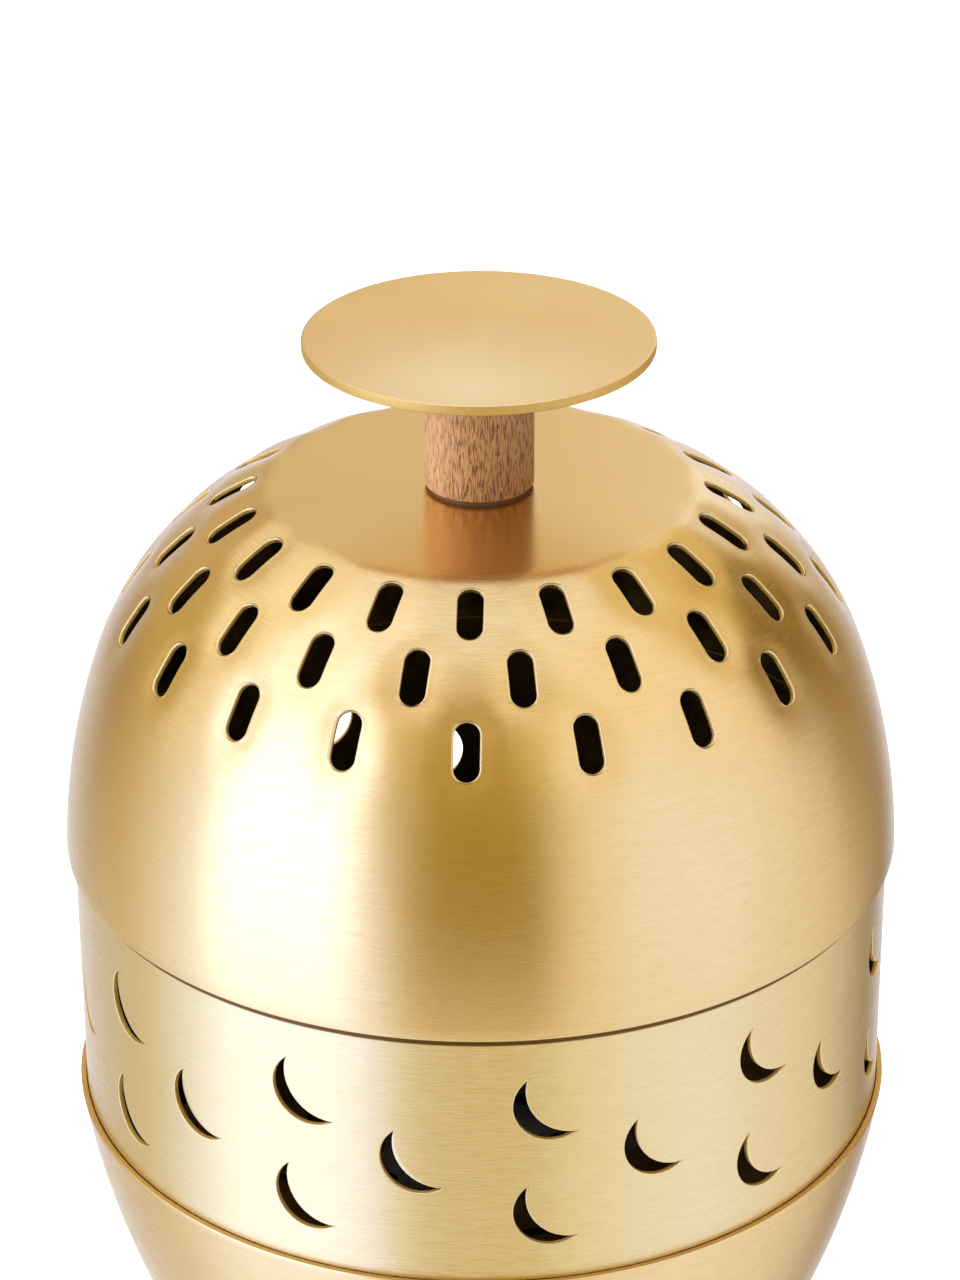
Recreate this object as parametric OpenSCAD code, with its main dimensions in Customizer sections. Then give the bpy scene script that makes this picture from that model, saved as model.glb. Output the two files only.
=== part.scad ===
/* [Lid] */
// Outer diameter of the lid at its lower edge, the widest point of the burner
lid_d = 120; // [118:0.5:124]
// Height of the lid from its lower edge to its flat top
lid_h = 53.8; // [51:0.2:56]
// Slots in each of the lid's rows
slots_per_row = 19; // [12:1:20]
// Width of a lid slot
slot_w = 3.5; // [2:0.1:4.2]
// Length of a lid slot along the slope
slot_l = 8; // [5:0.1:9]

/* [Band and bowl] */
// Thickness of the spun and rolled brass sheet
sheet = 0.8; // [0.6:0.05:1]
// Height of the pierced band that shows between bowl and lid
band_h = 39.1; // [37:0.1:44]
// Depth of the lower bowl from its rim to its flat base
bowl_h = 54; // [52:0.2:58]
// Pairs of crescents round the band, with a single crescent after each pair
crescent_pairs = 11; // [6:1:12]
// Radius of a crescent's outer curve
crescent_r = 5.45; // [4:0.05:5.6]

/* [Knob] */
// Diameter of the brass disc on top of the knob
disc_d = 48.8; // [40:0.2:54]
// Thickness of the brass disc
disc_t = 1.4; // [1:0.1:2]
// Diameter of the wooden stem
stem_d = 15.3; // [14:0.1:18]
// Height of the wooden stem
stem_h = 20.4; // [16:0.2:26]

/* [Ember cup] */
// Inside diameter of the cup where the charcoal tablet lies
cup_d = 54; // [46:1:58]
// Depth of the cup from its flange to the grate's ledge
cup_depth = 9; // [7:0.5:12]
// Depth of the ash well below the grate
well_depth = 8; // [6:0.5:10]

/* [Base] */
// Diameter of the cork pad under the bowl
pad_d = 56; // [40:1:60]
// Thickness of the cork pad
pad_h = 2; // [1.5:0.1:4]

/* [Hidden] */
$fn = 128;
round_fn = 48;
cut = 0.1;
through = 6;

function dir(a) = [cos(a), sin(a)];

// Heights of the levels where the pieces meet, from the table up.
bowl_rim_z = pad_h + bowl_h;
lid_rim_z = bowl_rim_z + band_h;
lid_top_z = lid_rim_z + lid_h;
lid_inner_top_z = lid_top_z - sheet;

// Both spun shells have a long, nearly upright wall arc and a rounder shoulder arc that runs
// to the flat. The shoulder's circle stands a hair past tangent, so that the arcs cross cleanly.
past_tangent = 0.02;

// [radius at the edge, height of that radius, lean of the wall there, wall radius,
//  direction of the bend, shoulder radius, height of the flat]
lid_form = [lid_d / 2, 0, 2, 93, 19.1, 45.3, lid_h];
bowl_lip_r = lid_d / 2 - 0.3;
bowl_form = [bowl_lip_r, 1, 8.5, 140, 21.2, 45, bowl_h];

function wall_centre(form) = [form[0], form[1]] - form[3] * dir(form[2]);
function shoulder_centre(form) =
    wall_centre(form) + (form[3] - form[5] + past_tangent) * dir(form[4]);
function bend_point(form) = wall_centre(form) + form[3] * dir(form[4]);

// The band slips inside the bowl's lip and, by lid_overlap, inside the lid.
lip_h = 1.5;
lid_overlap = 4;
band_r = bowl_lip_r - sheet;

// Lid slots: three rows by their angle on the shoulder arc, the middle row set half a pitch over.
slot_row_angles = [34.5, 46.9, 59.3];
slot_pitch = 360 / slots_per_row;

// Crescents: an outer circle less a larger circle set up and to the right of it.
crescent_bite_r = 1.248 * crescent_r;
crescent_bite_shift = crescent_r * [0.56, 0.431];
crescent_pitch = 360 / crescent_pairs;
crescent_pair_gap = 17;
crescent_start = 11.5;
crescent_single_shift = 0.46 * crescent_pitch;

// Knob fastening: a threaded stud through disc, stem and lid, held by a washer and nut.
stud_r = 2;
stud_hole_r = stud_r + 0.2;
stem_washer_h = 0.5;
stem_washer_r = stem_d / 2 - 0.5;
stem_z = lid_top_z + stem_washer_h;
stem_ease = 0.35;
disc_z = stem_z + stem_h;
disc_ease = 0.2;
lid_washer_r = 7;
lid_washer_h = 1;
nut_flats = 7;
nut_h = 3.2;
nut_z = lid_inner_top_z - lid_washer_h - nut_h;
stud_tail = 1.2;

// Cup and its ring, by height.
ring_h = 1.2;
ring_drop = 10;
ring_z = bowl_rim_z - ring_drop;
ring_r = 56.9;
ring_air_holes = 8;
ring_air_hole_r = 4;
ring_air_circle_r = 47;
cup_sheet = 0.8;
cup_r = cup_d / 2;
cup_gap = 0.8;
seat_gap = 0.05;
cup_flange_z = ring_z + ring_h + seat_gap;
cup_flange_r = cup_r + 9;
ledge_z = cup_flange_z + cup_sheet - cup_depth;
ledge_w = 5;
well_r = cup_r - ledge_w;
grate_h = 1;
grate_r = cup_r - 0.4;
grate_z = ledge_z + seat_gap;
grate_hole_r = 1.6;
grate_hole_pitch = 6;
grate_rings = 3;

// The solid half-section of a shell, edge down and flat up, drawn in by a sheet's thickness.
module form_section(form, inset) {
    intersection() {
        translate(wall_centre(form)) circle(r = form[3] - inset);
        union() {
            translate(shoulder_centre(form)) circle(r = form[5] - inset);
            translate([0, -cut]) square([form[0] + 1, bend_point(form)[1] + cut]);
        }
        translate([0, -cut]) square([form[0] + 1, form[6] - inset + cut]);
    }
}

// A sheet shell open at its edge: the outer section less the inner one.
module shell_section(form) {
    intersection() {
        difference() {
            form_section(form, 0);
            form_section(form, sheet);
        }
        square([form[0] + 1, form[6]]);
    }
}

module annulus(outer_r, inner_r, h) {
    difference() {
        cylinder(r = outer_r, h = h);
        translate([0, 0, -cut]) cylinder(r = inner_r, h = h + 2 * cut);
    }
}

// A round disc or rod with both edges broken.
module eased_cylinder(r, h, ease) {
    rotate_extrude() polygon([
        [0, 0], [r - ease, 0], [r, ease], [r, h - ease], [r - ease, h], [0, h],
    ]);
}

module slot_outline() {
    end_y = (slot_l - slot_w) / 2;
    for (y = [-end_y, end_y]) translate([0, y]) circle(d = slot_w, $fn = round_fn);
    square([slot_w, 2 * end_y], center = true);
}

module crescent_outline() {
    difference() {
        circle(r = crescent_r, $fn = round_fn);
        translate(crescent_bite_shift) circle(r = crescent_bite_r, $fn = round_fn);
    }
}

// A slot cutter square to the lid's slope, its length up the slope.
module lid_slot(azimuth, row_angle) {
    centre = shoulder_centre(lid_form) + lid_form[5] * dir(row_angle);
    rotate([0, 0, azimuth]) translate([0, -centre[0], lid_rim_z + centre[1]])
        rotate([90 - row_angle, 0, 0])
            linear_extrude(height = through, center = true) slot_outline();
}

module band_crescent(azimuth, z) {
    rotate([0, 0, azimuth]) translate([0, -band_r, z])
        rotate([90, 0, 0]) linear_extrude(height = through, center = true) crescent_outline();
}

module base_pad() {
    color("peru") cylinder(d = pad_d, h = pad_h);
}

module lower_bowl() {
    color("goldenrod") {
        translate([0, 0, bowl_rim_z]) mirror([0, 0, 1]) rotate_extrude() {
            difference() {
                union() {
                    shell_section(bowl_form);
                    translate([band_r - 1, 0]) square([sheet + 1, lip_h]);
                }
                translate([band_r - 2, -cut]) square([2, lip_h + cut]);
            }
        }
    }
}

module pierced_band() {
    mid_z = bowl_rim_z + band_h / 2;
    color("gold") difference() {
        translate([0, 0, bowl_rim_z - lip_h])
            annulus(band_r, band_r - sheet, lip_h + band_h + lid_overlap);
        for (i = [0 : crescent_pairs - 1]) {
            azimuth = crescent_start + i * crescent_pitch;
            for (side = [-1, 1]) band_crescent(azimuth, mid_z + side * crescent_pair_gap / 2);
            band_crescent(azimuth + crescent_single_shift, mid_z);
        }
    }
}

module cup_support_ring() {
    color("darkgoldenrod") difference() {
        translate([0, 0, ring_z]) annulus(ring_r, cup_r + cup_sheet + cup_gap, ring_h);
        for (i = [0 : ring_air_holes - 1]) rotate([0, 0, i * 360 / ring_air_holes])
            translate([ring_air_circle_r, 0, ring_z - cut])
                cylinder(r = ring_air_hole_r, h = ring_h + 2 * cut, $fn = round_fn);
    }
}

// Flange, straight wall, grate ledge and ash well, spun in one piece.
module ember_cup() {
    outer_r = cup_r + cup_sheet;
    well_z = ledge_z - well_depth;
    color("khaki") rotate_extrude() {
        translate([cup_r, cup_flange_z]) square([cup_flange_r - cup_r, cup_sheet]);
        translate([cup_r, ledge_z - cup_sheet])
            square([cup_sheet, cup_flange_z + cup_sheet - ledge_z + cup_sheet]);
        translate([well_r, ledge_z - cup_sheet]) square([outer_r - well_r, cup_sheet]);
        translate([well_r, well_z - cup_sheet]) square([cup_sheet, well_depth + cup_sheet]);
        translate([0, well_z - cup_sheet]) square([well_r + cup_sheet, cup_sheet]);
    }
}

module ember_grate() {
    color("silver") difference() {
        translate([0, 0, grate_z]) cylinder(r = grate_r, h = grate_h);
        for (ring = [1 : grate_rings], i = [0 : 6 * ring - 1])
            rotate([0, 0, i * 60 / ring]) translate([ring * grate_hole_pitch, 0, grate_z - cut])
                cylinder(r = grate_hole_r, h = grate_h + 2 * cut, $fn = round_fn);
    }
}

module lid_dome() {
    color("gold") difference() {
        translate([0, 0, lid_rim_z]) rotate_extrude() shell_section(lid_form);
        translate([0, 0, lid_inner_top_z - cut])
            cylinder(r = stud_hole_r, h = sheet + 2 * cut, $fn = round_fn);
        for (row = [0 : len(slot_row_angles) - 1], i = [0 : slots_per_row - 1])
            lid_slot((i + (row % 2) / 2) * slot_pitch, slot_row_angles[row]);
    }
}

module stem_washer() {
    color("black") translate([0, 0, lid_top_z])
        annulus(stem_washer_r, stud_hole_r, stem_washer_h);
}

module knob_stem() {
    color("tan") translate([0, 0, stem_z]) difference() {
        eased_cylinder(stem_d / 2, stem_h, stem_ease);
        translate([0, 0, -cut]) cylinder(r = stud_hole_r, h = stem_h + 2 * cut, $fn = round_fn);
    }
}

module knob_disc() {
    color("gold") translate([0, 0, disc_z]) eased_cylinder(disc_d / 2, disc_t, disc_ease);
}

// Brazed to the underside of the disc and threaded at its lower end.
module knob_stud() {
    stud_z = nut_z - stud_tail;
    color("darkkhaki") translate([0, 0, stud_z])
        cylinder(r = stud_r, h = disc_z - stud_z, $fn = round_fn);
}

module lid_washer() {
    color("silver") translate([0, 0, lid_inner_top_z - lid_washer_h])
        annulus(lid_washer_r, stud_hole_r, lid_washer_h);
}

module lid_nut() {
    color("darkkhaki") translate([0, 0, nut_z]) difference() {
        cylinder(d = nut_flats / cos(30), h = nut_h, $fn = 6);
        translate([0, 0, -cut]) cylinder(r = stud_r, h = nut_h + 2 * cut, $fn = round_fn);
    }
}

base_pad();
lower_bowl();
pierced_band();
cup_support_ring();
ember_cup();
ember_grate();
lid_dome();
stem_washer();
knob_stem();
knob_disc();
knob_stud();
lid_washer();
lid_nut();
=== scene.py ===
import math

import bmesh
import bpy
from mathutils import Matrix, Vector


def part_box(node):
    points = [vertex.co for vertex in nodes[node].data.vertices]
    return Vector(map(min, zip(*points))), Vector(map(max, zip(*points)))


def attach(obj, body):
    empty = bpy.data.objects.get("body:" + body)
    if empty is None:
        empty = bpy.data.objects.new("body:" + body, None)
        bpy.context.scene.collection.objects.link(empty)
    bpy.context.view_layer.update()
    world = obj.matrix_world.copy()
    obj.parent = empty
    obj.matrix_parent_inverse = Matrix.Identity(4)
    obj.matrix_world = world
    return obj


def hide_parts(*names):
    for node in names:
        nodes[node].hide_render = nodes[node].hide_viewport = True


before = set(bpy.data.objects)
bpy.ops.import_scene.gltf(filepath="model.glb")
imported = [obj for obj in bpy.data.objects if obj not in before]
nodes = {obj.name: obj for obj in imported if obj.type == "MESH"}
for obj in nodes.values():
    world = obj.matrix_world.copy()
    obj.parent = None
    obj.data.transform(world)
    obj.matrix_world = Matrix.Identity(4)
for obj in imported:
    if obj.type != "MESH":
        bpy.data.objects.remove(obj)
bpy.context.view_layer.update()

# ---------------------------------------------------------------------------------------------
# Cork pad. A disc of pressed cork glued under the bowl, so that its heat doesn't reach the table.
# The cut edge shows the same granules as the face.
# ---------------------------------------------------------------------------------------------
MM = 0.001


def new_material(name):
    """An empty material; returns it with its node tree, its shader and its object coordinates."""
    material = bpy.data.materials.new(name)
    material.use_nodes = True
    tree = material.node_tree
    shader = tree.nodes["Principled BSDF"]
    coordinates = tree.nodes.new("ShaderNodeTexCoord").outputs["Object"]
    return material, tree, shader, coordinates


def feed(tree, socket, value):
    """Links a socket to another socket, or sets it to a number or an (r, g, b)."""
    if isinstance(value, bpy.types.NodeSocket):
        tree.links.new(value, socket)
    elif isinstance(value, tuple):
        socket.default_value = (*value, 1.0)
    else:
        socket.default_value = value


def noise(tree, vector, scale, detail=3.0):
    """A noise texture's value; scale is in features per metre on object coordinates."""
    node = tree.nodes.new("ShaderNodeTexNoise")
    feed(tree, node.inputs["Vector"], vector)
    feed(tree, node.inputs["Scale"], scale)
    feed(tree, node.inputs["Detail"], detail)
    feed(tree, node.inputs["Roughness"], 0.55)
    return node.outputs["Fac"]


def spread(tree, value, low, high, to_low=0.0, to_high=1.0):
    """Stretches value from low..high to to_low..to_high, clamped."""
    node = tree.nodes.new("ShaderNodeMapRange")
    feed(tree, node.inputs["Value"], value)
    feed(tree, node.inputs["From Min"], low)
    feed(tree, node.inputs["From Max"], high)
    feed(tree, node.inputs["To Min"], to_low)
    feed(tree, node.inputs["To Max"], to_high)
    return node.outputs["Result"]


def mix_colour(tree, factor, first, second):
    """Mixes two colours; each is a socket or an (r, g, b), and factor a socket or a number."""
    node = tree.nodes.new("ShaderNodeMix")
    node.data_type = "RGBA"
    feed(tree, node.inputs["Factor"], factor)
    feed(tree, node.inputs["A"], first)
    feed(tree, node.inputs["B"], second)
    return node.outputs["Result"]


def math_node(tree, operation, first, second=0.0):
    """One arithmetic step on sockets or numbers."""
    node = tree.nodes.new("ShaderNodeMath")
    node.operation = operation
    feed(tree, node.inputs[0], first)
    feed(tree, node.inputs[1], second)
    return node.outputs["Value"]


def bump(tree, shader, height, strength, distance):
    """Raises the surface's shading by height, distance metres at full height."""
    node = tree.nodes.new("ShaderNodeBump")
    node.inputs["Strength"].default_value = strength
    node.inputs["Distance"].default_value = distance
    tree.links.new(height, node.inputs["Height"])
    tree.links.new(node.outputs["Normal"], shader.inputs["Normal"])


def cork_material():
    """Granules in two browns, each a little darker at its middle."""
    brown = (0.42, 0.24, 0.12)
    tan = (0.66, 0.45, 0.27)
    dark = (0.24, 0.12, 0.05)
    material, tree, shader, place = new_material("Pressed cork")
    grain = tree.nodes.new("ShaderNodeTexVoronoi")
    grain.inputs["Scale"].default_value = 600.0
    tree.links.new(place, grain.inputs["Vector"])
    tone = noise(tree, place, 900.0)
    fleck = spread(tree, grain.outputs["Distance"], 0.1, 0.6)
    colour = mix_colour(tree, tone, brown, tan)
    colour = mix_colour(tree, fleck, dark, colour)
    tree.links.new(colour, shader.inputs["Base Color"])
    shader.inputs["Roughness"].default_value = 0.85
    bump(tree, shader, fleck, strength=0.4, distance=0.2 * MM)
    return material


def finish_cad_node(name, material):
    """Gives a CAD node that stays as it is its finish."""
    mesh = nodes[name].data
    mesh.materials.clear()
    mesh.materials.append(material)


finish_cad_node("base_pad", cork_material())

# ---------------------------------------------------------------------------------------------
# Lower bowl. Spun from brass sheet on the lathe, its lip trimmed and rounded, then satin-brushed
# as it turns. Inside it is left dull and darkens with smoke.
# ---------------------------------------------------------------------------------------------
SHEET = 0.8 * MM
LIP = 1.2 * MM
LIP_EDGE_R = 0.22 * MM
BOWL_STEPS = 152
BOWL_RINGS = 44

bowl_low, bowl_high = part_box("lower_bowl")
band_low, band_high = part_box("pierced_band")


def direction(angle):
    """The unit vector (radius, height) that points `angle` above level."""
    return Vector((math.cos(angle), math.sin(angle)))


def spun_arcs(edge, lean, wall_radius, bend, shoulder_radius, flat, crease_radius):
    """The outside of a spun shell as arcs from its edge to its flat: (centre, radius, start, end).

    edge is a point (radius, height) that the wall passes through, where it faces `lean` above
    level. The wall turns into the shoulder where it faces `bend`, and the shoulder turns through
    a tight crease into the flat, which lies at height `flat`.
    """
    wall_centre = Vector(edge) - wall_radius * direction(lean)
    shoulder_centre = wall_centre + (wall_radius - shoulder_radius) * direction(bend)
    inner_radius = shoulder_radius - crease_radius
    crease = math.asin((flat - crease_radius - shoulder_centre.y) / inner_radius)
    crease_centre = shoulder_centre + inner_radius * direction(crease)
    start = math.asin(-wall_centre.y / wall_radius)
    return [
        (wall_centre, wall_radius, start, bend),
        (shoulder_centre, shoulder_radius, bend, crease),
        (crease_centre, crease_radius, crease, math.pi / 2),
    ]


def along(arcs, distance):
    """Point (radius, height) and outward direction at a distance along the arcs and then the flat."""
    for centre, radius, start, end in arcs:
        length = radius * (end - start)
        if distance <= length:
            outward = direction(start + distance / radius)
            return centre + radius * outward, outward
        distance -= length
    centre, radius, _, _ = arcs[-1]
    return centre + Vector((-distance, radius)), Vector((0, 1))


def arcs_length(arcs):
    """The distance along the arcs from the edge to where the flat begins."""
    return sum(radius * (end - start) for _, radius, start, end in arcs)


def spin_profile(points, steps):
    """A closed solid turned round +Z from the (radius, height) points of its section, in order."""
    bm = bmesh.new()
    verts = [bm.verts.new((radius, 0, height)) for radius, height in points]
    edges = [bm.edges.new(pair) for pair in zip(verts, verts[1:] + verts[:1])]
    bmesh.ops.spin(bm, geom=verts + edges, cent=(0, 0, 0), axis=(0, 0, 1), dvec=(0, 0, 0),
                   angle=math.tau, steps=steps, use_merge=True)
    bmesh.ops.remove_doubles(bm, verts=bm.verts, dist=0.001 * MM)
    axis_edges = [e for e in bm.edges if not e.link_faces]
    bmesh.ops.delete(bm, geom=axis_edges, context="EDGES")
    bmesh.ops.recalc_face_normals(bm, faces=bm.faces)
    return bm


def corner(centre, radius, start, end):
    """Points of a small rounded corner, angles in degrees."""
    steps = 4
    angles = [math.radians(start + (end - start) * i / steps) for i in range(steps + 1)]
    return [Vector(centre) + radius * direction(a) for a in angles]


def make_piece(name, bm, materials, body, replaced, sharp=26.0):
    """Turns a finished bmesh into a piece of the object, smooth but for edges over `sharp` degrees."""
    mesh = bpy.data.meshes.new(name)
    for face in bm.faces:
        face.smooth = True
    for edge in bm.edges:
        if len(edge.link_faces) == 2:
            edge.smooth = edge.calc_face_angle(0) < math.radians(sharp)
    bm.to_mesh(mesh)
    bm.free()
    for material in materials:
        mesh.materials.append(material)
    piece = bpy.data.objects.new(name, mesh)
    bpy.context.scene.collection.objects.link(piece)
    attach(piece, body)
    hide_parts(*replaced)


def new_group(name, inputs, outputs):
    """An empty node group that takes a Vector and named numbers; returns it, its inputs and its outputs."""
    group = bpy.data.node_groups.new(name, "ShaderNodeTree")
    group.interface.new_socket("Vector", in_out="INPUT", socket_type="NodeSocketVector")
    for label in inputs:
        group.interface.new_socket(label, in_out="INPUT", socket_type="NodeSocketFloat")
    for label in outputs:
        group.interface.new_socket(label, in_out="OUTPUT", socket_type="NodeSocketFloat")
    taken = group.nodes.new("NodeGroupInput").outputs
    given = group.nodes.new("NodeGroupOutput").inputs
    return group, taken, given


def use_group(tree, group, vector, values):
    """Places a node group in a material with values for its named inputs, and returns its outputs."""
    node = tree.nodes.new("ShaderNodeGroup")
    node.node_tree = group
    tree.links.new(vector, node.inputs["Vector"])
    for label, value in values.items():
        node.inputs[label].default_value = value
    return node.outputs


def turned_brushing_group():
    """Brush strokes round +Z: Strokes are short scratches, Bands broader ones, and Tone a slow drift."""
    inputs = ("Stroke Length", "Stroke Width")
    group, taken, given = new_group("Turned brushing", inputs, ("Strokes", "Bands", "Tone"))
    parts = group.nodes.new("ShaderNodeSeparateXYZ")
    group.links.new(taken["Vector"], parts.inputs["Vector"])
    x, y, z = parts.outputs
    squares = math_node(group, "ADD", math_node(group, "MULTIPLY", x, x), math_node(group, "MULTIPLY", y, y))
    slope = math_node(group, "SUBTRACT", z, math_node(group, "SQRT", squares))

    def stroke_noise(longer, wider, detail):
        """Noise drawn out round the axis, with strokes so many times longer and wider than the inputs."""
        length = math_node(group, "MULTIPLY", taken["Stroke Length"], longer)
        width = math_node(group, "MULTIPLY", taken["Stroke Width"], wider)
        place = group.nodes.new("ShaderNodeCombineXYZ")
        for axis, value, size in (("X", x, length), ("Y", y, length), ("Z", slope, width)):
            group.links.new(math_node(group, "DIVIDE", value, size), place.inputs[axis])
        return noise(group, place.outputs["Vector"], 1.0, detail)

    group.links.new(spread(group, stroke_noise(1.0, 1.0, 3.0), 0.33, 0.67), given["Strokes"])
    group.links.new(spread(group, stroke_noise(5.0, 4.0, 2.0), 0.3, 0.7), given["Bands"])
    group.links.new(spread(group, noise(group, taken["Vector"], 25.0, 2.0), 0.3, 0.7), given["Tone"])
    return group


def patchy_film_group():
    """A film that lies thicker in patches: smoke, or the colours that heat leaves."""
    group, taken, given = new_group("Patchy film", ("Patches per Metre",), ("Film",))
    patches = noise(group, taken["Vector"], taken["Patches per Metre"], 4.5)
    group.links.new(spread(group, patches, 0.35, 0.66), given["Film"])
    return group


def cut_marks_group():
    """Fine marks that a saw, a punch or a tool leaves on an edge."""
    group, taken, given = new_group("Cut marks", ("Marks per Metre",), ("Marks",))
    group.links.new(noise(group, taken["Vector"], taken["Marks per Metre"], 2.0), given["Marks"])
    return group


turned_brushing = turned_brushing_group()
patchy_film = patchy_film_group()
cut_marks = cut_marks_group()


def brushed_brass(name, base, deep, roughness, anisotropy=0.85, stroke=0.4, tarnish=0.2, shade_line_height=None,
                  painted_highlight=None):
    """Satin brass brushed round the axis, so that highlights stretch across the strokes.

    Given a height, it is painted darker from there up, most of all just above it, as painted shade
    under another piece's edge; given a place (centre, reach), it is painted paler round it, as a painted
    highlight.
    """
    # Painted shade: a near-black brown for the strip under another piece's edge.
    painted_seam_shade = (0.10, 0.035, 0.001)
    # Painted highlight: a pale gold for a patch that is painted paler.
    painted_highlight_colour = (0.98, 0.84, 0.56)
    material, tree, shader, place = new_material(name)
    sizes = {"Stroke Length": 2.6 * MM, "Stroke Width": 0.22 * MM}
    brushing = use_group(tree, turned_brushing, place, sizes)
    scratch = math_node(tree, "MULTIPLY", brushing["Strokes"], stroke)
    band = math_node(tree, "MULTIPLY", brushing["Bands"], stroke * 0.4)
    amount = math_node(tree, "ADD", scratch, band)
    colour = mix_colour(tree, amount, base, deep)
    colour = mix_colour(tree, math_node(tree, "MULTIPLY", brushing["Tone"], tarnish), colour, deep)
    # Painted shade: from the given height up, the colour darkens to near black, most strongly just above it,
    # as shade under another piece's edge.
    if shade_line_height is not None:
        parts = tree.nodes.new("ShaderNodeSeparateXYZ")
        tree.links.new(place, parts.inputs["Vector"])
        stain_and_shade = spread(tree, parts.outputs["Z"], shade_line_height, shade_line_height + 0.25 * MM, 0.0, 0.95)
        fade = spread(tree, parts.outputs["Z"], shade_line_height + 1.2 * MM, shade_line_height + 3 * MM, 1.0, 0.4)
        colour = mix_colour(tree, math_node(tree, "MULTIPLY", stain_and_shade, fade), colour, painted_seam_shade)
    # Painted highlight: round the given place the colour is painted paler, fading out over its reach.
    if painted_highlight is not None:
        centre, reach = painted_highlight
        gap = tree.nodes.new("ShaderNodeVectorMath")
        gap.operation = "DISTANCE"
        gap.inputs[1].default_value = centre
        tree.links.new(place, gap.inputs[0])
        near = spread(tree, gap.outputs["Value"], 0.0, reach, 0.8, 0.0)
        colour = mix_colour(tree, near, colour, painted_highlight_colour)
    tree.links.new(colour, shader.inputs["Base Color"])
    shader.inputs["Metallic"].default_value = 1.0
    shader.inputs["Anisotropic"].default_value = anisotropy
    shader.inputs["Anisotropic Rotation"].default_value = 0.25
    smoothest = roughness - 0.08 * stroke
    roughest = roughness + 0.12 * stroke
    rough = spread(tree, brushing["Strokes"], 0.0, 1.0, smoothest, roughest)
    tree.links.new(rough, shader.inputs["Roughness"])
    bump(tree, shader, brushing["Strokes"], strength=0.6 * stroke, distance=0.02 * MM)
    return material


def smoked_brass(name, thin, thick):
    """The inside of the burner: dull brass under a film of smoke, thicker in patches."""
    material, tree, shader, place = new_material(name)
    soot = use_group(tree, patchy_film, place, {"Patches per Metre": 90.0})["Film"]
    colour = mix_colour(tree, soot, thin, thick)
    tree.links.new(colour, shader.inputs["Base Color"])
    shader.inputs["Metallic"].default_value = 0.8
    tree.links.new(spread(tree, soot, 0.0, 1.0, 0.45, 0.7), shader.inputs["Roughness"])
    bump(tree, shader, soot, strength=0.15, distance=0.1 * MM)
    return material


def cut_brass(name, dark, light, metallic):
    """Sawn, punched or rubbed edges: fresher metal with fine marks along the cut."""
    material, tree, shader, place = new_material(name)
    marks = use_group(tree, cut_marks, place, {"Marks per Metre": 2500.0})["Marks"]
    colour = mix_colour(tree, marks, dark, light)
    tree.links.new(colour, shader.inputs["Base Color"])
    shader.inputs["Metallic"].default_value = metallic
    tree.links.new(spread(tree, marks, 0.2, 0.8, 0.50, 0.65), shader.inputs["Roughness"])
    bump(tree, shader, marks, strength=0.2, distance=0.03 * MM)
    return material


BRASS = (0.86, 0.65, 0.31)
BRASS_DEEP = (0.78, 0.53, 0.19)
shell_brass = brushed_brass("Satin brass shell", BRASS, BRASS_DEEP, roughness=0.25)
smoked_inside = smoked_brass("Smoked brass", thin=(0.060, 0.034, 0.011), thick=(0.015, 0.010, 0.006))
lip_brass = cut_brass("Dull brass lip", dark=(0.58, 0.37, 0.10), light=(0.78, 0.54, 0.20), metallic=1.0)

# Places in a shell's list of materials.
OUTSIDE, EDGE, INSIDE, RUBBED, PAINTED_SHADE_RIM, CROWN = range(6)


def bowl_profile():
    """Outside from the axis up to the rounded lip, then back down the inside.

    The arcs run downwards from the lip, so their heights are depths under it.
    """
    arcs = spun_arcs(
        edge=(band_high.x + SHEET, 1 * MM),
        lean=math.radians(8.5),
        wall_radius=140 * MM,
        bend=math.radians(21.2),
        shoulder_radius=45 * MM,
        flat=bowl_high.z - bowl_low.z,
        crease_radius=5 * MM,
    )
    length = arcs_length(arcs)
    outer, inner = [], []
    for i in range(BOWL_RINGS + 1):
        point, outward = along(arcs, LIP + (length - LIP) * i / BOWL_RINGS)
        outer.append((point.x, bowl_high.z - point.y))
        within = point - SHEET * outward
        inner.append((within.x, bowl_high.z - within.y))
    lip_outer = along(arcs, 0)[0].x
    lip_height = bowl_high.z - LIP_EDGE_R
    lip = corner((lip_outer - LIP_EDGE_R, lip_height), LIP_EDGE_R, 0, 90)
    lip += corner((band_high.x + LIP_EDGE_R, lip_height), LIP_EDGE_R, 90, 180)
    return [(0, bowl_low.z), *reversed(outer), *lip, *inner[1:], (0, bowl_low.z + SHEET)]


def paint_shell_faces(bm, middle, reach, rounded=()):
    """Gives each face of a shell its metal: outside, inside, cut edge, or rubbed where an edge is rounded.

    The shell's outside faces level at the height `middle`, and steeply up or down `reach` away
    from it. A face that lies across that direction is part of a cut edge.
    """
    steepest = 0.8
    across = 0.25
    for face in bm.faces:
        centre = face.calc_center_median()
        out = Vector((centre.x, centre.y, 0)).normalized()
        out.z = steepest * max(-1, min(1, (centre.z - middle) / reach))
        facing = face.normal.dot(out.normalized())
        face.material_index = OUTSIDE if facing > across else INSIDE if facing < -across else EDGE
    for face in rounded:
        if face.material_index == OUTSIDE:
            face.material_index = RUBBED


bowl = spin_profile(bowl_profile(), BOWL_STEPS)
paint_shell_faces(bowl, middle=bowl_high.z, reach=bowl_high.z - bowl_low.z)
bowl_metals = (shell_brass, lip_brass, smoked_inside)
make_piece("lower_bowl_shell", bowl, bowl_metals, "base", ["lower_bowl"])

# ---------------------------------------------------------------------------------------------
# Pierced band. A strip of the same sheet, sawn through with crescents while flat, rolled into a
# sleeve, brazed, and brushed along its length. It stands inside the bowl's lip and the lid's edge.
# ---------------------------------------------------------------------------------------------
PAIRS = 11
CRESCENT_R = 5.45 * MM
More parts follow.
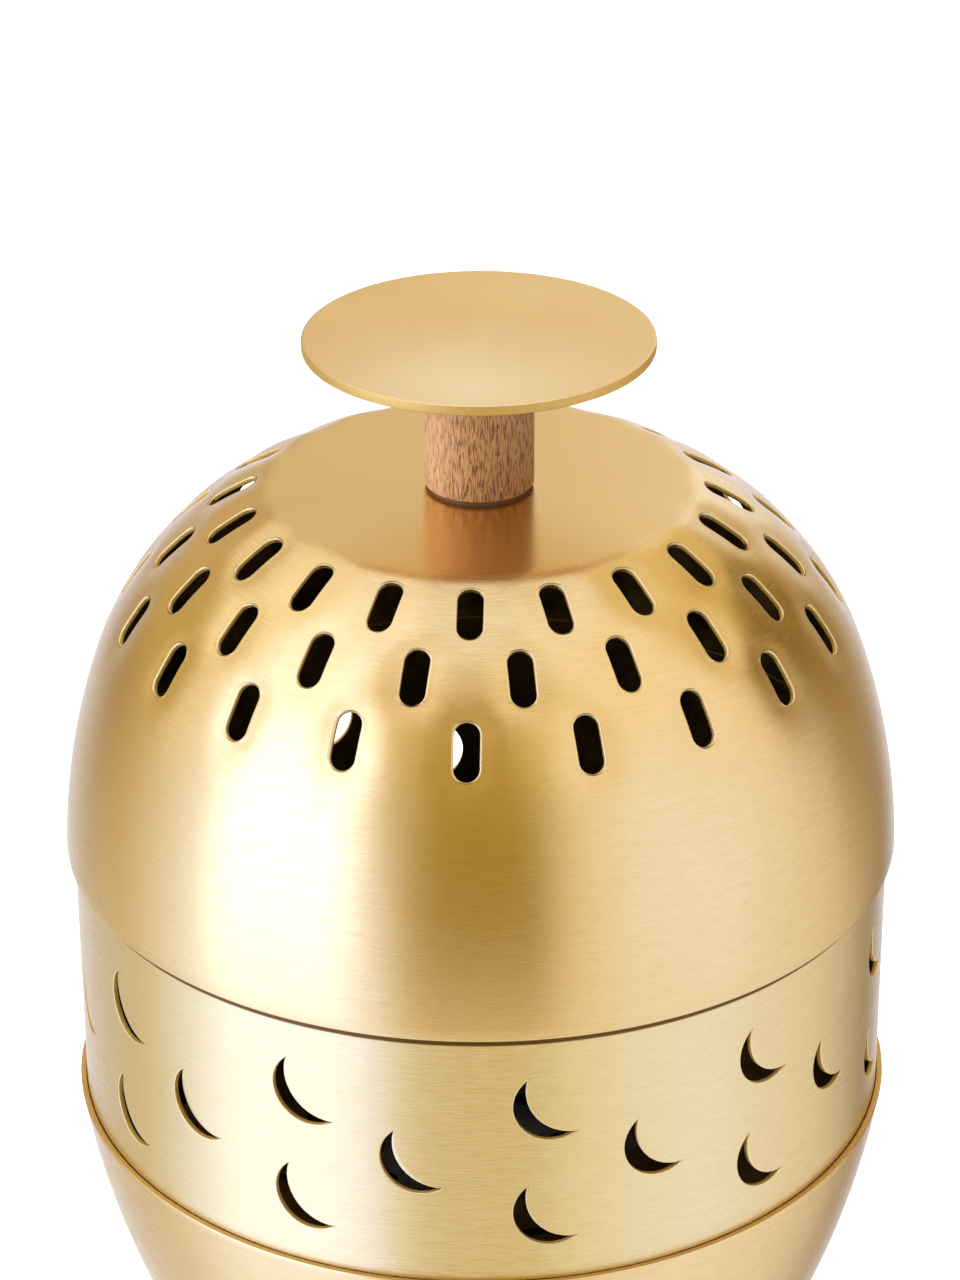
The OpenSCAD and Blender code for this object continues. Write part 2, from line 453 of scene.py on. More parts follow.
# The circle that bites the crescent out of its disc, and where its centre lies from the disc's.
BITE_R = 1.248 * CRESCENT_R
BITE = CRESCENT_R * Vector((0.56, 0.431))
PAIR_GAP = 17 * MM
# The first pair's place round from the front, and how far a pair lies from its window's middle.
FIRST_PAIR = math.radians(11.5)
CRESCENT_SHIFT = 1.2 * MM
# How far a single crescent lies after its pair, as a share of the way to the next pair.
SINGLE_SHIFT = 0.46
# Points along one side of a window of the pattern, and along a crescent's bite.
WINDOW = 12
BITE_STEPS = 14
UPPER_HORN_TARGET = 30
# How far each ring of faces reaches from a hole to its window's border.
CRESCENT_RINGS = (0.05, 0.16, 0.34, 0.6, 1.0)
# Points of the sheet that are closer than this are one point.
SAME_PLACE = 0.002 * MM

lid_low, lid_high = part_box("lid_dome")


def window_border(low, high):
    """Points round a window of the flat pattern, from its lower left corner and counterclockwise."""
    lower_right = Vector((high.x, low.y))
    upper_left = Vector((low.x, high.y))
    corners = [low, lower_right, high, upper_left]
    points = []
    for here, there in zip(corners, corners[1:] + corners[:1]):
        points += [here.lerp(there, i / WINDOW) for i in range(WINDOW)]
    return points


def next_ring(bm, ring, places):
    """Extrudes a closed ring of vertices to new places and returns the new ring, in the same order."""
    edges = [bm.edges.get(pair) for pair in zip(ring, ring[1:] + ring[:1])]
    made = bmesh.ops.extrude_edge_only(bm, edges=edges)["geom"]
    fresh = {item for item in made if isinstance(item, bmesh.types.BMVert)}
    grown = [next(e.other_vert(v) for e in v.link_edges if e.other_vert(v) in fresh) for v in ring]
    for vert, place in zip(grown, places):
        vert.co = (place.x, place.y, 0)
    return grown


def pierced_window(bm, outline, low, high, shares):
    """A window of the flat pattern with a hole: rings of faces from its outline to the border."""
    border = window_border(low, high)
    ring = [bm.verts.new((p.x, p.y, 0)) for p in outline]
    for pair in zip(ring, ring[1:] + ring[:1]):
        bm.edges.new(pair)
    for share in shares:
        ring = next_ring(bm, ring, [a.lerp(b, share) for a, b in zip(outline, border)])


def plain_window(bm, low, high, columns, rows):
    """A window of the flat pattern with no hole."""
    size = high - low
    place = Matrix.Translation((*((low + high) / 2), 0)) @ Matrix.Diagonal((size.x, size.y, 1, 1))
    bmesh.ops.create_grid(bm, x_segments=columns, y_segments=rows, size=0.5, matrix=place)


def crescent_outline(centre):
    """The crescent counterclockwise: down its back, then up its bite, which has the fewer points.

    The list is turned so that the upper horn gets the index UPPER_HORN_TARGET, and so faces the
    point of the window's border with the same index.
    """
    gap = BITE.length
    toward = math.atan2(BITE.y, BITE.x)
    back = math.acos((CRESCENT_R ** 2 + gap ** 2 - BITE_R ** 2) / (2 * CRESCENT_R * gap))
    bite = math.acos((BITE_R ** 2 + gap ** 2 - CRESCENT_R ** 2) / (2 * BITE_R * gap))
    back_steps = 4 * WINDOW - BITE_STEPS
    points = []
    for i in range(back_steps):
        angle = toward + back + (math.tau - 2 * back) * i / back_steps
        points.append(centre + CRESCENT_R * direction(angle))
    for i in range(BITE_STEPS):
        angle = toward + math.pi + bite - 2 * bite * i / BITE_STEPS
        points.append(centre + BITE + BITE_R * direction(angle))
    return points[-UPPER_HORN_TARGET:] + points[:-UPPER_HORN_TARGET]


def wrap(bm, surface):
    """Bends the flat pattern round the axis: surface turns (angle, distance) into a point."""
    for vert in bm.verts:
        vert.co = surface(vert.co.x, vert.co.y)
    bmesh.ops.remove_doubles(bm, verts=bm.verts, dist=SAME_PLACE)
    bmesh.ops.recalc_face_normals(bm, faces=bm.faces)
    outer = max(bm.faces, key=lambda f: f.calc_center_median().xy.length)
    if outer.normal.dot(outer.calc_center_median()) < 0:
        bmesh.ops.reverse_faces(bm, faces=bm.faces)


def thicken(bm, edge_bevel, rim_bevel, bottom):
    """Gives a one-sided shell its sheet thickness inwards, rounds its rim and breaks its cut edges.

    Returns the faces of the broken edges.
    """
    bmesh.ops.solidify(bm, geom=bm.faces[:], thickness=SHEET)
    bmesh.ops.recalc_face_normals(bm, faces=bm.faces)
    for vert in bm.verts:
        vert.co.z = max(vert.co.z, bottom)
    sharp = math.radians(60)
    at_bottom = bottom + 0.1 * MM
    corners = [e for e in bm.edges if len(e.link_faces) == 2 and e.calc_face_angle(0) > sharp]
    rim = [e for e in corners if max(v.co.z for v in e.verts) < at_bottom]
    rest = [e for e in corners if e not in set(rim)]
    cuts = bmesh.ops.bevel(bm, geom=rest, offset=edge_bevel, segments=3, profile=0.5, affect="EDGES",
                           material=-1)
    bmesh.ops.bevel(bm, geom=rim, offset=rim_bevel, segments=4, profile=0.5, affect="EDGES", material=-1)
    return [face for face in cuts["faces"] if face.is_valid]


def band_pattern():
    """The strip laid flat, with a window for each crescent, plain windows between and plain edges.

    Returns it with the place of the first pair along it.
    """
    bm = bmesh.new()
    pitch = math.tau * band_high.x / PAIRS
    half_height = (lid_low.z - bowl_high.z) / 2
    middle = (lid_low.z + bowl_high.z) / 2
    for i in range(PAIRS):
        left = i * pitch - pitch / 4
        centre = left + pitch / 4 + CRESCENT_SHIFT
        between = left + pitch / 2
        for side in (-1, 1):
            low = Vector((left, middle + half_height * (side - 1) / 2))
            high = low + Vector((pitch / 2, half_height))
            outline = crescent_outline(Vector((centre, middle + side * PAIR_GAP / 2)))
            pierced_window(bm, outline, low, high, CRESCENT_RINGS)
        low = Vector((between, middle - half_height / 2))
        high = low + Vector((pitch / 2, half_height))
        outline = crescent_outline(Vector((centre + SINGLE_SHIFT * pitch, middle)))
        pierced_window(bm, outline, low, high, CRESCENT_RINGS)
        for low_y in (middle - half_height, middle + half_height / 2):
            low = Vector((between, low_y))
            high = low + Vector((pitch / 2, half_height / 2))
            plain_window(bm, low, high, WINDOW, WINDOW // 2)
    around = 2 * WINDOW * PAIRS
    start, end = -pitch / 4, -pitch / 4 + PAIRS * pitch
    plain_window(bm, Vector((start, band_low.z)), Vector((end, middle - half_height)), around, 1)
    plain_window(bm, Vector((start, middle + half_height)), Vector((end, band_high.z)), around, 2)
    bmesh.ops.remove_doubles(bm, verts=bm.verts, dist=SAME_PLACE)
    return bm, centre - (PAIRS - 1) * pitch


band, first_centre = band_pattern()
band_turn = FIRST_PAIR - first_centre / band_high.x


def on_band(x, y):
    """Where a point of the flat strip comes to lie when it is rolled."""
    angle = x / band_high.x + band_turn
    return Vector((band_high.x * math.sin(angle), -band_high.x * math.cos(angle), y))


wrap(band, on_band)
band_cuts = thicken(band, edge_bevel=0.12 * MM, rim_bevel=0.1 * MM, bottom=band_low.z)
# The wall is straight, so the heights where it would face steeply up or down are put far away.
paint_shell_faces(band, middle=(band_low.z + band_high.z) / 2, reach=1.0, rounded=band_cuts)
# The height from which the band is painted dark as shade, just under the lid's edge.
under_lid = lid_low.z - 1.3 * MM
# Painted light: the band's brass is a paler copy of the shell's, though the band is the same sheet.
band_brass = brushed_brass("Satin brass band", (0.86, 0.69, 0.36), (0.76, 0.57, 0.23), roughness=0.25,
                           shade_line_height=under_lid)
edge_brass = cut_brass("Cut brass edge", dark=(0.52, 0.32, 0.05), light=(0.74, 0.48, 0.10), metallic=0.6)
band_inside = smoked_brass("Lightly smoked brass", thin=(0.26, 0.16, 0.045), thick=(0.09, 0.055, 0.015))
rubbed_brass = cut_brass("Rubbed brass rim", dark=(0.90, 0.70, 0.36), light=(0.97, 0.80, 0.48), metallic=1.0)
band_metals = (band_brass, edge_brass, band_inside, rubbed_brass)
make_piece("pierced_band_sleeve", band, band_metals, "base", ["pierced_band"])

# ---------------------------------------------------------------------------------------------
# Lid. Spun like the bowl, then punched from outside with three rows of slots, which leaves the
# metal slightly sunk round each one. Its flat carries the knob.
# ---------------------------------------------------------------------------------------------
SLOTS = 19
SLOT_W = 3.5 * MM
SLOT_L = 8 * MM
# How far above level the shoulder faces at each row of slots.
SLOT_ANGLES = [math.radians(a) for a in (34.5, 46.9, 59.3)]
SLOT_PITCH = math.tau / SLOTS
# How deep the sheet is drawn in at a slot's edge, and how far from it that dies away.
SINK = 0.24 * MM
SINK_REACH = 2.1 * MM
SLOT_RINGS = (0.07, 0.2, 0.4, 0.68, 1.0)
STUD_HOLE_R = 2.2 * MM

lid_height = lid_high.z - lid_low.z
lid_arcs = spun_arcs(
    edge=(60 * MM, 0),
    lean=math.radians(2),
    wall_radius=93 * MM,
    bend=math.radians(19.1),
    shoulder_radius=45.3 * MM,
    flat=lid_height,
    crease_radius=5 * MM,
)
_, wall_radius, wall_start, wall_end = lid_arcs[0]
_, shoulder_radius, shoulder_start, _ = lid_arcs[1]
wall_length = wall_radius * (wall_end - wall_start)
slot_rows = [wall_length + shoulder_radius * (angle - shoulder_start) for angle in SLOT_ANGLES]
row_gap = slot_rows[1] - slot_rows[0]
crown = arcs_length(lid_arcs)
flat_radius = along(lid_arcs, crown)[0].x


def slot_outline(azimuth, distance):
    """A slot counterclockwise from its lower left, in (angle, distance along the slope)."""
    half = (SLOT_L - SLOT_W) / 2
    shares = [i / WINDOW for i in range(WINDOW)]
    points = []
    for side in (-1, 1):
        end = Vector((0, side * half))
        first = math.pi if side < 0 else 0
        points += [end + SLOT_W / 2 * direction(first + math.pi * share) for share in shares]
        points += [Vector((-side * SLOT_W / 2, side * half * (1 - 2 * share))) for share in shares]
    placed = []
    for p in points:
        radius = along(lid_arcs, distance + p.y)[0].x
        placed.append(Vector((azimuth + p.x / radius, distance + p.y)))
    return placed


def lid_pattern():
    """The lid's sheet in (angle, distance): skirt, three rows of slot windows, and crown."""
    bm = bmesh.new()
    for row, distance in enumerate(slot_rows):
        for i in range(SLOTS):
            azimuth = (i + (row % 2) / 2) * SLOT_PITCH
            low = Vector((azimuth - SLOT_PITCH / 2, distance - row_gap / 2))
            high = Vector((azimuth + SLOT_PITCH / 2, distance + row_gap / 2))
            pierced_window(bm, slot_outline(azimuth, distance), low, high, SLOT_RINGS)
    start = -SLOT_PITCH / 2
    end = start + math.tau
    skirt_top = slot_rows[0] - row_gap / 2
    belt_top = slot_rows[-1] + row_gap / 2
    crease_end = crown + 1.5 * MM
    hole = crown + flat_radius - STUD_HOLE_R
    for bottom, top, rows in ((0, skirt_top, 16), (belt_top, crease_end, 5), (crease_end, hole, 12)):
        plain_window(bm, Vector((start, bottom)), Vector((end, top)), SLOTS * WINDOW, rows)
    bmesh.ops.remove_doubles(bm, verts=bm.verts, dist=0.0005 * MM)
    return bm


def sunk(angle, distance, radius):
    """How far the sheet is drawn in at a place, from the slots near it."""
    depth = 0.0
    for row, row_distance in enumerate(slot_rows):
        over = distance - row_distance
        if abs(over) > SLOT_L:
            continue
        turn = angle / SLOT_PITCH - (row % 2) / 2
        side = (turn - round(turn)) * SLOT_PITCH * radius
        beyond = max(0.0, abs(over) - (SLOT_L - SLOT_W) / 2)
        gap = max(0.0, math.hypot(side, beyond) - SLOT_W / 2)
        depth += SINK * math.exp(-((gap / SINK_REACH) ** 2))
    return depth


def on_lid(angle, distance):
    """Where a point of the lid's pattern lies on the spun and punched dome."""
    point, outward = along(lid_arcs, distance)
    point = point - sunk(angle, distance, point.x) * outward
    return Vector((point.x * math.sin(angle), -point.x * math.cos(angle), lid_low.z + point.y))


lid = lid_pattern()
wrap(lid, on_lid)
lid_cuts = thicken(lid, edge_bevel=0.22 * MM, rim_bevel=0.38 * MM, bottom=lid_low.z)
paint_shell_faces(lid, middle=lid_low.z, reach=lid_height, rounded=lid_cuts)
# Outside faces that face down, on the rounding of the rim, get a dark brass that is painted shade: it draws
# the dark line where the lid's edge meets the band. Outside faces on the flat get the crown's brass.
for face in lid.faces:
    faces_down = face.normal.z < -0.2
    on_flat = face.calc_center_median().xy.length < flat_radius
    if face.material_index == OUTSIDE and (faces_down or on_flat):
        face.material_index = PAINTED_SHADE_RIM if faces_down else CROWN
lid_inside = smoked_brass("Smoked brass lid", thin=(0.42, 0.27, 0.07), thick=(0.06, 0.035, 0.01))
# Painted shade: a dark, half-metallic brass for the downward faces of the lid's rim.
painted_shade_rim_brass = cut_brass("Brass rim painted dark as shade", dark=(0.15, 0.06, 0.001), light=(0.30, 0.14, 0.004),
                      metallic=0.5)
crown_brass = brushed_brass("Satin brass crown", (0.86, 0.63, 0.28), BRASS_DEEP, roughness=0.22,
                            anisotropy=0.5, stroke=0.05, tarnish=0.5)
lid_metals = (shell_brass, edge_brass, lid_inside, rubbed_brass, painted_shade_rim_brass, crown_brass)
make_piece("lid_shell", lid, lid_metals, "lid", ["lid_dome"])

# ---------------------------------------------------------------------------------------------
# Stem washer. A thin disc of dark heat-proof fibre between the stem and the lid's flat. It keeps
# the lid's heat out of the wood.
# ---------------------------------------------------------------------------------------------


def fibre_material():
    """Matt brown-black fibre, flecked."""
    material, tree, shader, place = new_material("Dark fibre")
    fibre = noise(tree, place, 1500.0, 4.0)
    colour = mix_colour(tree, fibre, (0.07, 0.035, 0.015), (0.16, 0.09, 0.04))
    tree.links.new(colour, shader.inputs["Base Color"])
    shader.inputs["Roughness"].default_value = 0.8
    bump(tree, shader, fibre, strength=0.3, distance=0.05 * MM)
    return material


finish_cad_node("stem_washer", fibre_material())

# ---------------------------------------------------------------------------------------------
# Stem. A length of open-pored hardwood dowel, bored through for the stud, with its ends eased.
# It is oiled, and its grain runs up it.
# ---------------------------------------------------------------------------------------------
stem_low, stem_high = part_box("knob_stem")


def stem_profile():
    """From the bore out along the lower end, up the side, and back along the upper end."""
    radius = stem_high.x
    ease = 0.35 * MM
    parts = 8
    points = [Vector((STUD_HOLE_R, stem_low.z))]
    points += corner((radius - ease, stem_low.z + ease), ease, -90, 0)
    rise = stem_high.z - stem_low.z - 2 * ease
    points += [Vector((radius, stem_low.z + ease + rise * i / parts)) for i in range(1, parts)]
    points += corner((radius - ease, stem_high.z - ease), ease, 0, 90)
    points.append(Vector((STUD_HOLE_R, stem_high.z)))
    return points


def wood_material():
    """Warm brown hardwood: a broad wavy figure painted as light and shade, paler on its left side and darker
    on its right, with fine fibre and short dark pores along the grain.
    """
    # Painted light and shade: a lit and a shaded copy of the wood's colour.
    painted_lit_wood = (0.62, 0.36, 0.18)
    painted_shaded_wood = (0.50, 0.26, 0.09)
    fibre_brown = (0.34, 0.16, 0.05)
    pore_brown = (0.16, 0.06, 0.02)
    lean = math.radians(4)
    material, tree, shader, place = new_material("Oiled hardwood")

    def along_grain(across, run):
        """Coordinates for a pattern `across` wide and `run` long, which leans as the grain does."""
        scale = tree.nodes.new("ShaderNodeMapping")
        scale.inputs["Scale"].default_value = (1 / across, 1 / across, 1 / run)
        scale.inputs["Rotation"].default_value = (0, lean, 0)
        tree.links.new(place, scale.inputs["Vector"])
        return scale.outputs["Vector"]

    parts = tree.nodes.new("ShaderNodeSeparateXYZ")
    tree.links.new(place, parts.inputs["Vector"])
    wander = spread(tree, noise(tree, along_grain(5 * MM, 25 * MM), 1.0, 3.0), 0.2, 0.8, -4 * MM, 4 * MM)
    # Painted light and shade: the colour runs from the lit one at the stem's left side to the shaded one at
    # its right, with a wavy boundary like the wood's figure.
    figure_and_side_shade = spread(tree, math_node(tree, "ADD", parts.outputs["X"], wander), -5.2 * MM, -1 * MM)
    fibre = spread(tree, noise(tree, along_grain(0.30 * MM, 5 * MM), 1.0, 4.0), 0.3, 0.7)
    pores = spread(tree, noise(tree, along_grain(0.20 * MM, 1.6 * MM), 1.0, 2.0), 0.50, 0.60)
    colour = mix_colour(tree, figure_and_side_shade, painted_lit_wood, painted_shaded_wood)
    colour = mix_colour(tree, math_node(tree, "MULTIPLY", fibre, 0.5), colour, fibre_brown)
    # Painted shade: the pores are painted darker on the shaded side.
    pores_darker_on_shaded_side = math_node(tree, "MULTIPLY", pores, spread(tree, figure_and_side_shade, 0.0, 1.0, 0.55, 0.95))
    colour = mix_colour(tree, pores_darker_on_shaded_side, colour, pore_brown)
    tree.links.new(colour, shader.inputs["Base Color"])
    tree.links.new(spread(tree, fibre, 0.0, 1.0, 0.5, 0.62), shader.inputs["Roughness"])
    shader.inputs["Specular IOR Level"].default_value = 0.35
    bump(tree, shader, math_node(tree, "SUBTRACT", fibre, pores), strength=0.5, distance=0.1 * MM)
    return material


stem = spin_profile(stem_profile(), steps=72)
make_piece("knob_stem_wood", stem, [wood_material()], "lid", ["knob_stem"], sharp=50)

# ---------------------------------------------------------------------------------------------
# Disc. A round of brass plate on top of the stem, with the stud brazed under it. It is brushed on
# its face, and its edges are broken.
# ---------------------------------------------------------------------------------------------
disc_low, disc_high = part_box("knob_disc")


def disc_profile():
    """From the axis out along the underside, round the two eased edges, and back along the face."""
    radius = disc_high.x
    ease = 0.2 * MM
    shares = (0, 0.35, 0.7, 0.97)
    points = [Vector((radius * share, disc_low.z)) for share in shares]
    points += corner((radius - ease, disc_low.z + ease), ease, -90, 0)
    points += corner((radius - ease, disc_high.z - ease), ease, 0, 90)
    points += [Vector((radius * share, disc_high.z)) for share in reversed(shares)]
    return points


disc = spin_profile(disc_profile(), steps=128)
for face in disc.faces:
    face.material_index = EDGE if abs(face.normal.z) < 0.8 else OUTSIDE
# Painted highlight: the disc's face is painted paler round a place near its front edge, towards the camera.
highlight_place = (0, -0.75 * disc_high.x, disc_high.z)
highlight_reach = 1.1 * disc_high.x
disc_brass = brushed_brass("Satin brass disc", (0.86, 0.64, 0.29), (0.76, 0.50, 0.17), roughness=0.40,
                           anisotropy=0.5, stroke=0.08, tarnish=0.5, painted_highlight=(highlight_place, highlight_reach))
turned_edge = cut_brass("Turned brass edge", dark=(0.58, 0.35, 0.06), light=(0.86, 0.60, 0.20), metallic=1.0)
make_piece("knob_disc_plate", disc, [disc_brass, turned_edge], "lid", ["knob_disc"])

# ---------------------------------------------------------------------------------------------
# Fastenings and the fittings inside. The stud, washer and nut that hold the knob, the ring brazed
# inside the bowl, and the cup that hangs in it are brass, dulled by heat. The grate is steel.
# ---------------------------------------------------------------------------------------------


def dull_metal(name, light, dark, roughness):
    """Turned metal that heat has stained in patches."""
    material, tree, shader, place = new_material(name)
    sizes = {"Stroke Length": 6 * MM, "Stroke Width": 0.25 * MM}
    brushing = use_group(tree, turned_brushing, place, sizes)
    stain_and_shade = use_group(tree, patchy_film, place, {"Patches per Metre": 120.0})["Film"]
    colour = mix_colour(tree, stain_and_shade, light, dark)
    tree.links.new(colour, shader.inputs["Base Color"])
    shader.inputs["Metallic"].default_value = 1.0
    tree.links.new(spread(tree, stain_and_shade, 0.0, 1.0, roughness, roughness + 0.2), shader.inputs["Roughness"])
    bump(tree, shader, brushing["Strokes"], strength=0.15, distance=0.02 * MM)
    return material


fitting_brass = dull_metal("Dull brass fitting", (0.32, 0.19, 0.06), (0.09, 0.05, 0.02), roughness=0.45)
cup_brass = dull_metal("Heat-stained brass", (0.24, 0.13, 0.04), (0.06, 0.035, 0.02), roughness=0.5)
grate_steel = dull_metal("Heat-blued steel", (0.30, 0.28, 0.27), (0.10, 0.09, 0.10), roughness=0.4)
for name in ("knob_stud", "lid_washer", "lid_nut", "cup_support_ring"):
    finish_cad_node(name, fitting_brass)
finish_cad_node("ember_cup", cup_brass)
finish_cad_node("ember_grate", grate_steel)

# ---------------------------------------------------------------------------------------------
# Studio. A plain white table, a tall soft light on the left, a broad dimmer one on the right, and
# a darker gap between them where the camera stands.
# ---------------------------------------------------------------------------------------------
CAMERA_SIDE = math.radians(2.1)
CAMERA_OUT = 505.2 * MM
CAMERA_UP = 284.4 * MM
CAMERA_TILT = math.radians(26.78)
CAMERA_ROLL = math.radians(-0.21)
LENS = 111.9
TABLE_RADIUS = 6.0


def white_floor():
    """The table's top, which the metal doesn't mirror: its light is part of the studio's."""
    bm = bmesh.new()
    bmesh.ops.create_circle(bm, cap_ends=True, segments=96, radius=TABLE_RADIUS)
    mesh = bpy.data.meshes.new("table")
    bm.to_mesh(mesh)
    bm.free()
    floor = bpy.data.objects.new("table", mesh)
    bpy.context.scene.collection.objects.link(floor)
    material, tree, shader, place = new_material("White table")
    shade = noise(tree, place, 3.0, 2.0)
    colour = mix_colour(tree, shade, (0.93, 0.93, 0.93), (0.96, 0.96, 0.96))
    tree.links.new(colour, shader.inputs["Base Color"])
    shader.inputs["Roughness"].default_value = 0.7
    mesh.materials.append(material)
    floor.visible_glossy = False


# The light from each side, as (degrees, colour): 0 degrees is the camera's side, positive to its right.
# Each ring is the light at one height, and STRONGEST is the brightest that a colour may be.
STRONGEST = 4.0
LOW_LIGHT = [
    (-180, (1.35, 1.50, 2.00)),
    (-158, (0.98, 1.02, 1.20)),
    (-138, (0.78, 0.76, 0.88)),
    (-112, (0.76, 0.68, 0.52)),
    (-86, (1.10, 1.24, 1.80)),
    (-70, (1.20, 1.38, 2.40)),
    (-34, (1.20, 1.36, 2.30)),
    (-27, (1.08, 1.16, 1.60)),
    (-21, (0.97, 0.93, 0.98)),
    (-12, (0.94, 0.86, 0.77)),
    (12, (0.92, 0.84, 0.70)),
    (35, (0.96, 0.96, 1.02)),
    (66, (1.02, 1.08, 1.36)),
    (105, (0.90, 0.86, 0.86)),
    (127, (0.72, 0.66, 0.62)),
    (143, (0.28, 0.20, 0.10)),
    (160, (0.92, 0.95, 1.20)),
    (180, (1.35, 1.50, 2.00)),
]
LEVEL_LIGHT = [
    (-180, (1.10, 1.25, 1.80)),
    (-165, (0.80, 0.82, 1.05)),
    (-150, (0.60, 0.58, 0.68)),
    (-130, (0.42, 0.32, 0.17)),
    (-112, (0.66, 0.55, 0.38)),
    (-94, (0.88, 0.88, 1.02)),
    (-80, (1.10, 1.30, 2.10)),
    (-72, (2.20, 2.60, 4.00)),
    (-40, (2.20, 2.60, 4.00)),
    (-33, (1.35, 1.55, 2.70)),
    (-26, (1.02, 1.02, 1.35)),
    (-18, (0.51, 0.38, 0.14)),
    (-10, (0.34, 0.22, 0.03)),
    (14, (0.34, 0.22, 0.03)),
    (23, (0.90, 0.82, 0.70)),
    (40, (1.06, 1.14, 1.60)),
    (66, (1.08, 1.18, 1.75)),
    (90, (0.98, 0.98, 1.20)),
    (108, (0.83, 0.77, 0.80)),
    (119, (0.45, 0.34, 0.19)),
    (130, (0.37, 0.27, 0.12)),
    (141, (0.46, 0.40, 0.34)),
    (150, (0.55, 0.51, 0.52)),
    (165, (0.85, 0.88, 1.15)),
    (180, (1.10, 1.25, 1.80)),
]
HIGH_LIGHT = [
    (-180, (0.80, 0.70, 0.58)),
    (-165, (0.62, 0.48, 0.30)),
    (-145, (0.66, 0.53, 0.34)),
    (-116, (0.62, 0.48, 0.18)),
    (-100, (1.05, 0.98, 0.90)),
    (-86, (1.10, 1.15, 1.40)),
    (-72, (2.00, 2.40, 4.00)),
    (-40, (2.00, 2.40, 4.00)),
    (-28, (0.80, 0.74, 0.60)),
    (-12, (0.45, 0.33, 0.05)),
    (12, (0.45, 0.33, 0.05)),
    (28, (0.98, 0.95, 0.92)),
    (48, (1.06, 1.12, 1.55)),
    (70, (1.06, 1.06, 1.30)),
    (92, (1.06, 0.98, 0.96)),
    (104, (0.46, 0.34, 0.16)),
    (112, (0.22, 0.14, 0.03)),
    (128, (0.26, 0.17, 0.04)),
    (140, (0.55, 0.42, 0.24)),
    (158, (1.20, 1.25, 1.50)),
    (180, (0.88, 0.80, 0.72)),
]
SHOULDER_LIGHT = [
    (-180, (0.95, 0.88, 0.75)),
    (-135, (1.05, 1.00, 1.00)),
    (-110, (1.20, 1.15, 1.05)),
    (-80, (1.50, 1.60, 2.20)),
    (-58, (1.60, 1.70, 2.40)),
    (-40, (0.95, 0.76, 0.42)),
    (-20, (0.72, 0.56, 0.24)),
    (0, (0.52, 0.36, 0.07)),
    (20, (0.88, 0.72, 0.35)),
    (45, (1.10, 1.02, 0.90)),
    (80, (1.15, 1.10, 1.10)),
    (108, (0.88, 0.72, 0.42)),
    (130, (0.80, 0.62, 0.26)),
    (145, (0.95, 0.82, 0.55)),
    (180, (0.95, 0.88, 0.75)),
]
OVERHEAD_LIGHT = (1.15, 1.20, 1.50)
FLOOR_LIGHT = (1.15, 1.22, 1.50)


def ring_of_light(tree, share, stops):
    """A colour ramp once round the burner, from one ring's stops."""
    ramp = tree.nodes.new("ShaderNodeValToRGB")
    tree.links.new(share, ramp.inputs["Fac"])
    elements = ramp.color_ramp.elements
    while len(elements) < len(stops):
        elements.new(0.5)
    for element, (degrees, colour) in zip(elements, stops):
        element.position = (degrees + 180) / 360
        element.color = (*[c / STRONGEST for c in colour], 1)
    return ramp.outputs["Color"]


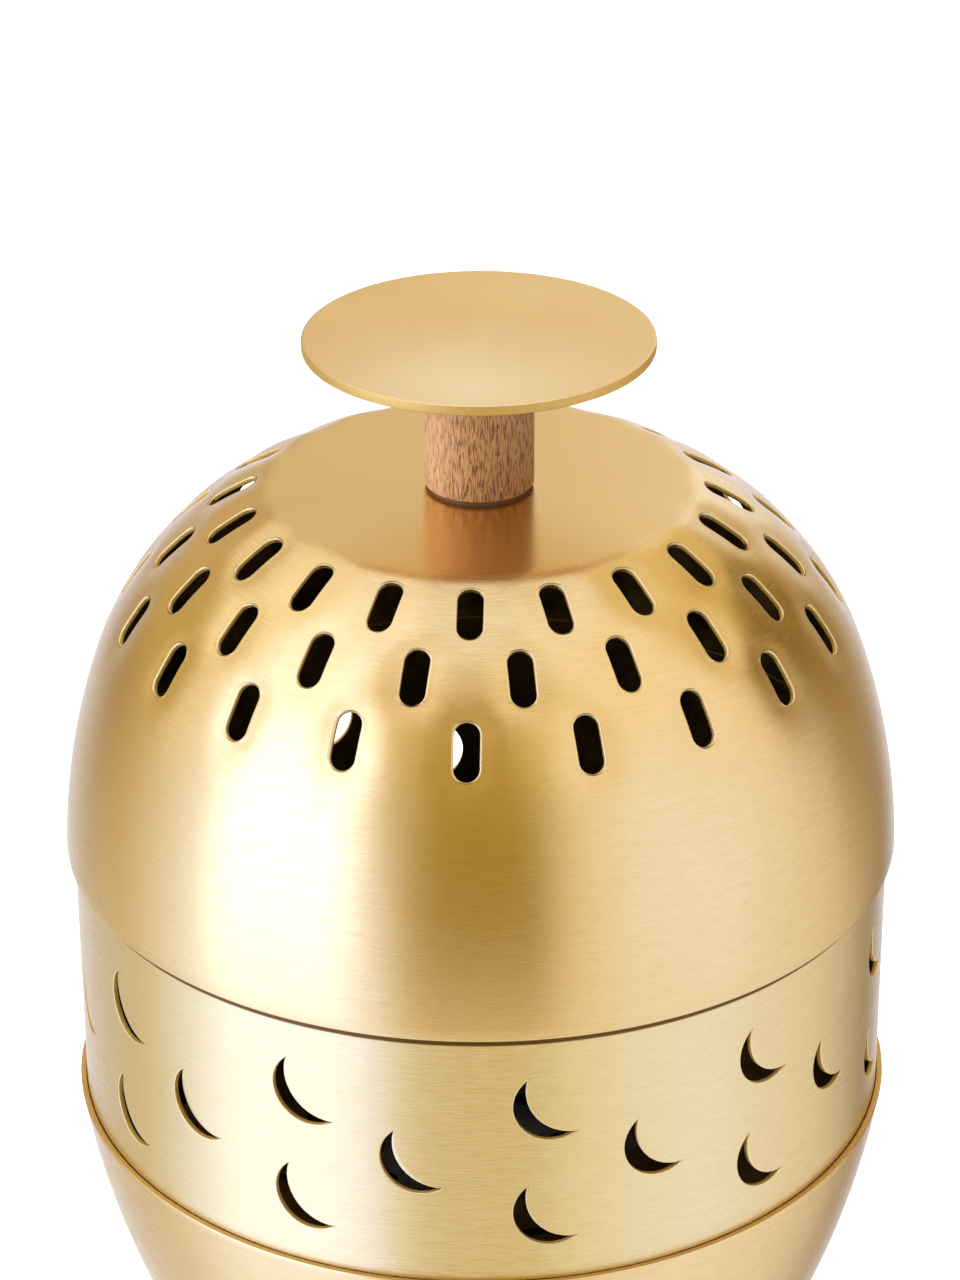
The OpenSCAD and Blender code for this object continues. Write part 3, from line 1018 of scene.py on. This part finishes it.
def studio_world():
    """The studio as the brass reflects it: rings of light that blend from the floor up to overhead.

    z is -1 straight down and 1 straight up, and each blend is between the two heights given.
    """
    world = bpy.data.worlds.new("Studio")
    bpy.context.scene.world = world
    world.use_nodes = True
    tree = world.node_tree
    place = tree.nodes.new("ShaderNodeTexCoord").outputs["Generated"]
    parts = tree.nodes.new("ShaderNodeSeparateXYZ")
    tree.links.new(place, parts.inputs["Vector"])
    x, y, z = parts.outputs
    turn = math_node(tree, "ARCTAN2", x, math_node(tree, "MULTIPLY", y, -1.0))
    turn = math_node(tree, "SUBTRACT", turn, CAMERA_SIDE)
    share = spread(tree, turn, -math.pi, math.pi)
    low = ring_of_light(tree, share, LOW_LIGHT)
    level = ring_of_light(tree, share, LEVEL_LIGHT)
    high = ring_of_light(tree, share, HIGH_LIGHT)
    shoulder = ring_of_light(tree, share, SHOULDER_LIGHT)
    floor = tuple(c / STRONGEST for c in FLOOR_LIGHT)
    overhead = tuple(c / STRONGEST for c in OVERHEAD_LIGHT)
    colour = mix_colour(tree, spread(tree, z, -0.95, -0.65, 0.6, 0.0), low, floor)
    colour = mix_colour(tree, spread(tree, z, -0.55, -0.15), colour, level)
    colour = mix_colour(tree, spread(tree, z, -0.1, 0.2), colour, high)
    colour = mix_colour(tree, spread(tree, z, 0.45, 0.6), colour, shoulder)
    colour = mix_colour(tree, spread(tree, z, 0.82, 1.0), colour, overhead)
    background = tree.nodes["Background"]
    background.inputs["Strength"].default_value = STRONGEST
    tree.links.new(colour, background.inputs["Color"])


def soft_light(name, place, aim, size, power):
    """A rectangular lamp that lights the scene but isn't mirrored in the metal."""
    light = bpy.data.lights.new(name, "AREA")
    light.shape = "RECTANGLE"
    light.size, light.size_y = size
    light.energy = power
    lamp = bpy.data.objects.new(name, light)
    lamp.location = place
    lamp.rotation_euler = (Vector(aim) - Vector(place)).to_track_quat("-Z", "Y").to_euler()
    lamp.visible_glossy = False
    bpy.context.scene.collection.objects.link(lamp)


def add_camera():
    """The scene's camera, in front of the burner and above it, tilted down."""
    data = bpy.data.cameras.new("camera")
    data.lens = LENS
    data.sensor_width = 36
    data.clip_start = 0.01
    camera = bpy.data.objects.new("camera", data)
    side = Vector((math.sin(CAMERA_SIDE), -math.cos(CAMERA_SIDE), 0))
    camera.location = CAMERA_OUT * side + Vector((0, 0, lid_low.z + CAMERA_UP))
    turn = Matrix.Rotation(CAMERA_SIDE, 4, "Z") @ Matrix.Rotation(math.pi / 2 - CAMERA_TILT, 4, "X")
    camera.rotation_euler = (turn @ Matrix.Rotation(CAMERA_ROLL, 4, "Z")).to_euler()
    bpy.context.scene.collection.objects.link(camera)
    bpy.context.scene.camera = camera


white_floor()
studio_world()
soft_light("overhead", place=(0.2, 0.5, 1.4), aim=(0, 0.2, 0), size=(1.6, 1.6), power=25)
soft_light("left", place=(-0.7, -0.25, 0.45), aim=(0, 0, 0.15), size=(0.5, 0.7), power=6)
add_camera()
bpy.context.scene.view_settings.view_transform = "Standard"
